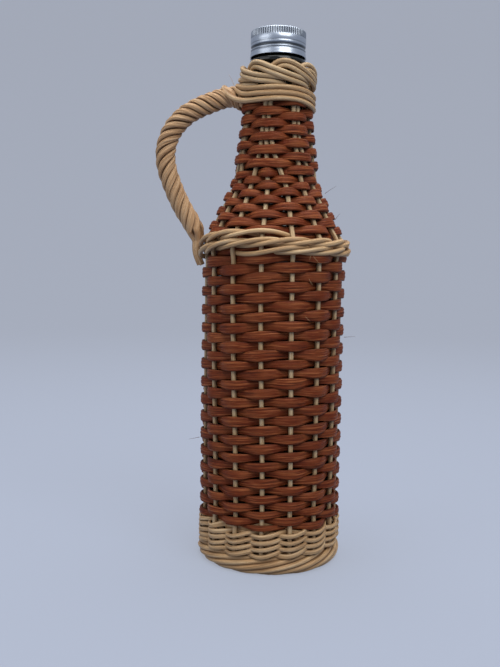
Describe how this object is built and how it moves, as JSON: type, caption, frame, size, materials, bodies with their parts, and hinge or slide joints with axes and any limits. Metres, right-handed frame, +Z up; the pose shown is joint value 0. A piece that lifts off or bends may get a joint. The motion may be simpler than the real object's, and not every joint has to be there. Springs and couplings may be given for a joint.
{
  "type": "wicker covered bottle",
  "caption": "Straight-sided dark glass bottle in a woven cane cover, with a roped loop handle on one side and a metal screw cap.",
  "frame": {"origin": "on the floor under the bottle's axis, at the centre of the foot border", "axes": "+Z up along the bottle's axis, -Y the front, -X the side that the handle is on"},
  "size_m": [0.1032, 0.0805, 0.2757],
  "materials": {
    "dark_glass": "gloss",
    "cap_metal": "satin",
    "liner": "matte",
    "stake_cane": "satin",
    "brown_cane": "satin",
    "pale_cane": "satin",
    "handle_cane": "satin"
  },
  "bodies": {
    "bottle": {"glass_bottle": "dark_glass", "stake_01": "stake_cane", "stake_02": "stake_cane", "stake_03": "stake_cane", "stake_04": "stake_cane", "stake_05": "stake_cane", "stake_06": "stake_cane", "stake_07": "stake_cane", "stake_08": "stake_cane", "stake_09": "stake_cane", "stake_10": "stake_cane", "stake_11": "stake_cane", "stake_12": "stake_cane", "stake_13": "stake_cane", "stake_14": "stake_cane", "stake_15": "stake_cane", "body_weaver_1": "brown_cane", "body_weaver_2": "brown_cane", "body_weaver_3": "brown_cane", "body_weaver_4": "brown_cane", "shoulder_weaver": "brown_cane", "neck_weaver": "brown_cane", "wale_rod_1": "pale_cane", "wale_rod_2": "pale_cane", "wale_rod_3": "pale_cane", "foot_weaver": "pale_cane", "foot_border": "pale_cane", "collar_winding": "pale_cane", "base_sticks_lower": "pale_cane", "base_sticks_upper": "pale_cane", "base_weaver": "pale_cane", "handle_strand_1": "handle_cane", "handle_strand_2": "handle_cane", "handle_strand_3": "handle_cane", "handle_strand_4": "handle_cane", "handle_strand_5": "handle_cane", "handle_core": "handle_cane"},
    "cap_carrier": {"cap_liner": "liner"},
    "cap": {"screw_cap": "cap_metal"}
  },
  "joints": [
    {"name": "cap_lift", "type": "slide", "parent": "bottle", "child": "cap_carrier", "axis": [0, 0, 1], "range_m": [0, 0.0145]},
    {"name": "cap_turn", "type": "hinge", "parent": "cap_carrier", "child": "cap", "pos_m": [0, 0, 0.2755], "axis": [0, 0, 1], "range_deg": [0, 1644]}
  ],
  "couplings": [
    {"joint": "cap_lift", "follows": "cap_turn", "m_per_rad": 0.000505}
  ]
}
